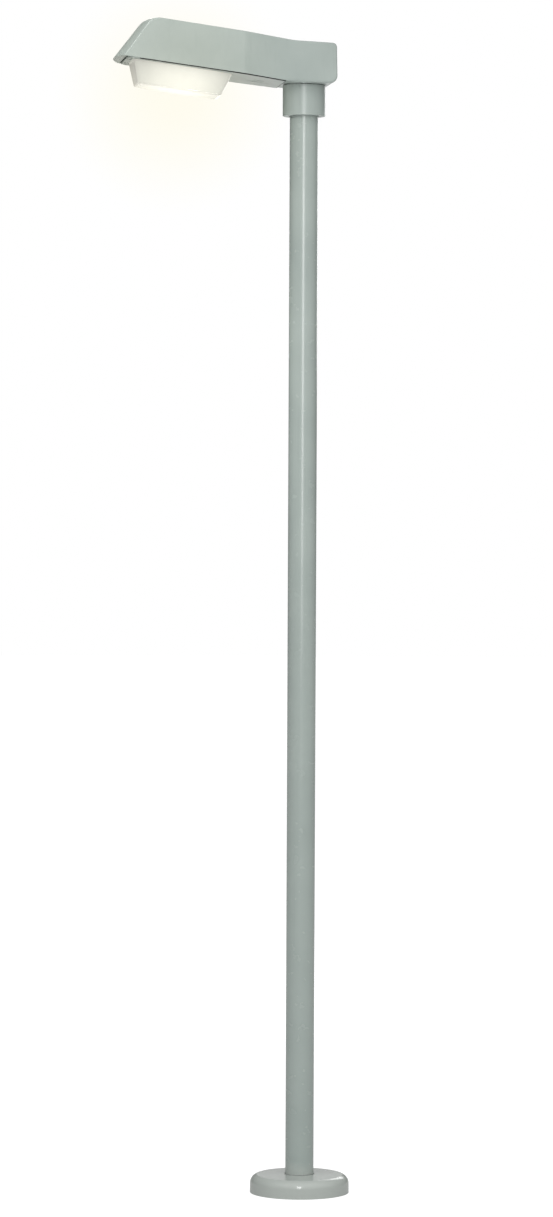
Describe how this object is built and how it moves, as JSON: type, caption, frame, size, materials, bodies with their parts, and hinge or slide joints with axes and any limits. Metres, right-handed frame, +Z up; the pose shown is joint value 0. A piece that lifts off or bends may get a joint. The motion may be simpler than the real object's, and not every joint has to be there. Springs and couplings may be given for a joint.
{
  "type": "street lamp post",
  "caption": "Straight round street lamp post with a bolted base, round foot cover, inspection door and a box-shaped head whose lens frame swings down.",
  "frame": {"origin": "centre of the base plate's underside, on the foundation", "axes": "+Z up along the column, the head points along -X, the inspection door faces +Y"},
  "size_m": [0.971, 0.4, 4.7219],
  "materials": {
    "pole_paint": "satin grey-green coating on steel",
    "head_paint": "satin grey-green coating on cast aluminium",
    "galvanised": "hot-dip galvanised steel",
    "zinc": "zinc-plated steel",
    "stainless": "stainless steel",
    "opal": "opal acrylic, glossy, lit from inside",
    "mirror_sheet": "bright anodised sheet",
    "rubber": "black EPDM",
    "black_plastic": "moulded black polyamide",
    "grey_plastic": "moulded light grey polycarbonate",
    "white_plastic": "moulded off-white thermoset",
    "porcelain": "glazed porcelain",
    "bulb_glass": "clear blown glass",
    "arc_ceramic": "translucent alumina",
    "brass": "bright brass",
    "cable_sheath": "black rubber sheath",
    "iron": "varnished steel laminations"
  },
  "bodies": {
    "post": {"base_plate": "galvanised", "base_gussets": "galvanised", "anchor_washers": "zinc", "anchor_nuts": "zinc", "pole_door_tube": "pole_paint", "pole_shaft": "pole_paint", "door_frame": "galvanised", "pole_knuckles": "pole_paint", "door_hinge_pins": "stainless", "fuse_box_bracket": "galvanised", "fuse_box": "grey_plastic", "fuse_box_lid": "grey_plastic", "fuse_carriers": "white_plastic", "cable_glands": "black_plastic", "pole_cable": "cable_sheath", "earth_stud": "zinc", "earth_nuts": "brass"},
    "foot_cover": {"base_cover": "head_paint", "cover_seal": "rubber"},
    "door": {"door_leaf": "pole_paint", "door_gasket": "rubber", "door_knuckles": "pole_paint", "door_lock_barrel": "stainless"},
    "door_lock": {"door_lock_spindle": "stainless", "door_lock_bar": "zinc"},
    "head": {"collar": "head_paint", "collar_set_screws": "stainless", "collar_bolts": "stainless", "collar_gasket": "rubber", "canopy": "head_paint", "frame_hinge_lugs": "head_paint", "frame_hinge_pins": "stainless", "gear_tray": "zinc", "tray_posts": "zinc", "ballast": "iron", "ignitor": "white_plastic", "capacitor": "white_plastic", "terminal_block": "white_plastic", "cable_clamp": "black_plastic", "head_lead": "cable_sheath", "reflector": "mirror_sheet", "reflector_hangers": "zinc", "holder_bracket": "zinc", "lamp_holder": "porcelain", "lamp_cap": "brass", "lamp_bulb": "bulb_glass", "arc_tube": "arc_ceramic"},
    "lens_carrier": {"lens_frame": "head_paint", "frame_gasket": "rubber", "lens": "opal", "lens_gasket": "rubber", "lens_clips": "stainless", "clip_screws": "stainless"},
    "catch": {"catch_disc": "head_paint", "catch_shaft": "stainless", "catch_bar": "zinc"}
  },
  "joints": [
    {"name": "cover_slide", "type": "slide", "parent": "post", "child": "foot_cover", "axis": [0, 0, 1], "range_m": [0, 0.25]},
    {"name": "door_hinge", "type": "hinge", "parent": "post", "child": "door", "pos_m": [0.04681, 0.04365, 0.76], "axis": [0, 0, -1], "range_deg": [0, 110]},
    {"name": "door_lock_turn", "type": "hinge", "parent": "door", "child": "door_lock", "pos_m": [0, 0.055, 0.76], "axis": [0, 1, 0], "range_deg": [0, 90]},
    {"name": "head_swivel", "type": "hinge", "parent": "post", "child": "head", "pos_m": [0, 0, 4.4], "axis": [0, 0, 1], "range_deg": [-175, 175]},
    {"name": "lens_frame_hinge", "type": "hinge", "parent": "head", "child": "lens_carrier", "pos_m": [-0.71713, 0, 4.56741], "axis": [0, 1, 0], "range_deg": [0, 80]},
    {"name": "catch_turn", "type": "hinge", "parent": "lens_carrier", "child": "catch", "pos_m": [-0.187, 0, 4.48917], "axis": [-0.134, 0, -0.991], "range_deg": [0, 90]}
  ]
}
